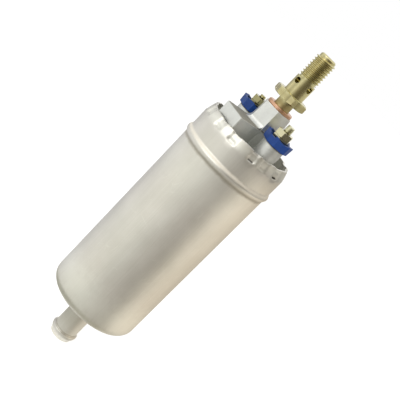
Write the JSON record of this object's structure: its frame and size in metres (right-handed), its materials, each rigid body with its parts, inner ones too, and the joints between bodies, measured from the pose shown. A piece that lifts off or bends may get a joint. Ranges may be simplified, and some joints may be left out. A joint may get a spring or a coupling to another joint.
{
  "type": "fuel pump",
  "caption": "In-line electric fuel pump: drawn can with a hose nipple, cast cap with a threaded outlet stud, insulated terminals, and a gerotor and motor inside.",
  "frame": {"origin": "centre of the hose nipple's open end, the lowest point of the pump", "axes": "+Z along the pump's axis from the hose nipple to the outlet stud; -Y is the side that the picture looks at and +X is that view's right, with the outlet up"},
  "size_m": [0.061, 0.061, 0.2272],
  "materials": {
    "can_aluminium": "satin, drawn and clear passivated",
    "cast_aluminium": "as die cast, lightly blasted",
    "yellow_zinc": "yellow passivated zinc plate",
    "copper": "annealed copper",
    "brass": "plain brass",
    "blue_plastic": "moulded, smooth",
    "black_plastic": "moulded, glass filled",
    "natural_plastic": "moulded, unfilled",
    "rubber": "fuel resistant",
    "steel": "ground",
    "sintered_steel": "sintered, ground faces",
    "sintered_bronze": "oil filled bronze",
    "zinc_steel": "bright zinc plate",
    "ferrite": "sintered ferrite",
    "lamination": "stacked laminations",
    "winding_copper": "enamelled copper wire",
    "carbon": "carbon graphite"
  },
  "bodies": {
    "pump_body": {"housing_can": "can_aluminium", "outlet_cap": "cast_aluminium", "copper_washer": "copper", "outlet_stud": "yellow_zinc", "check_valve_seat": "brass", "check_valve_spring": "steel", "cap_o_ring": "rubber", "inlet_strainer": "natural_plastic", "inlet_plate": "cast_aluminium", "inlet_o_ring": "rubber", "pump_ring": "sintered_steel", "outlet_plate": "cast_aluminium", "lower_bushing": "sintered_bronze", "pump_screws": "steel", "relief_spring": "steel", "flux_ring": "zinc_steel", "magnet_a": "ferrite", "magnet_b": "ferrite", "magnet_clips": "steel", "brush_holder": "black_plastic", "brush_guides": "brass", "upper_bushing": "sintered_bronze", "insulator_positive": "blue_plastic", "terminal_washer_positive": "yellow_zinc", "terminal_nuts_positive": "yellow_zinc", "terminal_stud_positive": "yellow_zinc", "terminal_sleeve_positive": "natural_plastic", "terminal_seal_positive": "rubber", "brush_strap_positive": "brass", "brush_spring_positive": "steel", "insulator_negative": "blue_plastic", "terminal_washer_negative": "yellow_zinc", "terminal_nuts_negative": "yellow_zinc", "terminal_stud_negative": "yellow_zinc", "terminal_sleeve_negative": "natural_plastic", "terminal_seal_negative": "rubber", "brush_strap_negative": "brass", "brush_spring_negative": "steel"},
    "armature": {"motor_shaft": "steel", "armature_core": "lamination", "windings": "winding_copper", "commutator_hub": "black_plastic", "commutator_segments": "copper", "inner_rotor": "sintered_steel", "thrust_washer_lower": "natural_plastic", "thrust_washer_upper": "natural_plastic"},
    "outer_rotor": {"outer_rotor": "sintered_steel"},
    "check_ball": {"check_valve_ball": "steel"},
    "relief_ball": {"relief_ball": "steel"},
    "brush_positive": {"brush_positive": "carbon"},
    "brush_negative": {"brush_negative": "carbon"}
  },
  "joints": [
    {"name": "armature_spin", "type": "hinge", "parent": "pump_body", "child": "armature", "pos_m": [0, 0, 0.092], "axis": [0, 0, 1], "continuous": true},
    {"name": "outer_rotor_spin", "type": "hinge", "parent": "pump_body", "child": "outer_rotor", "pos_m": [0, 0.0014, 0.045], "axis": [0, 0, 1], "continuous": true},
    {"name": "check_valve_lift", "type": "slide", "parent": "pump_body", "child": "check_ball", "axis": [0, 0, 1], "range_m": [0, 0.0015], "stiffness_N_per_m": 300, "springref_m": -0.003, "deforming": ["check_valve_spring"]},
    {"name": "relief_valve_lift", "type": "slide", "parent": "pump_body", "child": "relief_ball", "axis": [0, 0, -1], "range_m": [0, 0.001], "stiffness_N_per_m": 2000, "springref_m": -0.003, "deforming": ["relief_spring"]},
    {"name": "brush_positive_slide", "type": "slide", "parent": "pump_body", "child": "brush_positive", "axis": [0, 0, 1], "range_m": [0, 0.002], "stiffness_N_per_m": 300, "springref_m": -0.004, "deforming": ["brush_spring_positive"]},
    {"name": "brush_negative_slide", "type": "slide", "parent": "pump_body", "child": "brush_negative", "axis": [0, 0, 1], "range_m": [0, 0.002], "stiffness_N_per_m": 300, "springref_m": -0.004, "deforming": ["brush_spring_negative"]}
  ],
  "couplings": [
    {"joint": "outer_rotor_spin", "follows": "armature_spin", "ratio": 0.83333}
  ]
}
